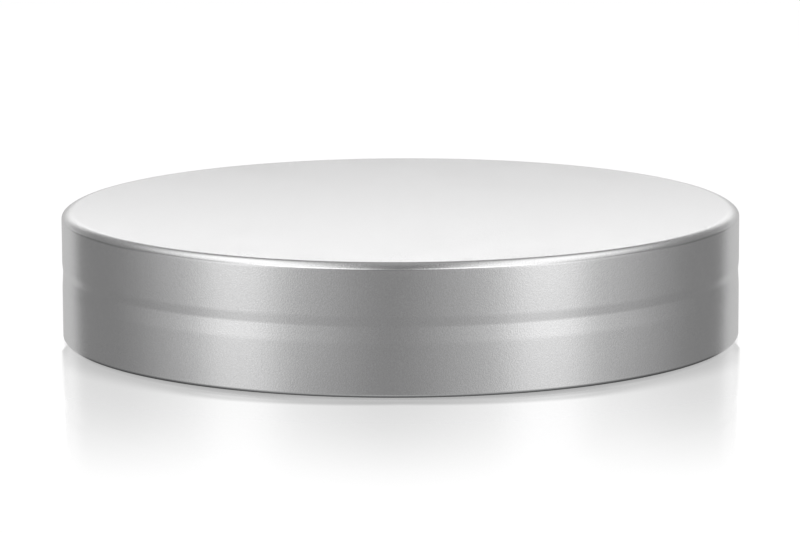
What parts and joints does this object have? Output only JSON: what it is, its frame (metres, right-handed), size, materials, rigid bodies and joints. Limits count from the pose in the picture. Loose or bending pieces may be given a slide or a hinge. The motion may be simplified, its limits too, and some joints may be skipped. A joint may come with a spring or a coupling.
{
  "type": "bottle cap",
  "caption": "Wide shallow screw cap: a drawn aluminium shell with a rolled ring groove over a threaded white insert and a foam sealing liner.",
  "frame": {"origin": "centre of the surface that the cap stands on, open side down, on the cap's axis", "axes": "+Z along the cap's axis, from the open edge to the top panel; +X and +Y any two directions across it"},
  "size_m": [0.093, 0.093, 0.0175],
  "materials": {
    "shell_metal": "satin silver",
    "insert_plastic": "moulded white",
    "liner_foam": "soft closed-cell foam sheet"
  },
  "bodies": {
    "root": {"shell": "shell_metal", "screw_insert": "insert_plastic", "liner": "liner_foam"}
  },
  "joints": []
}
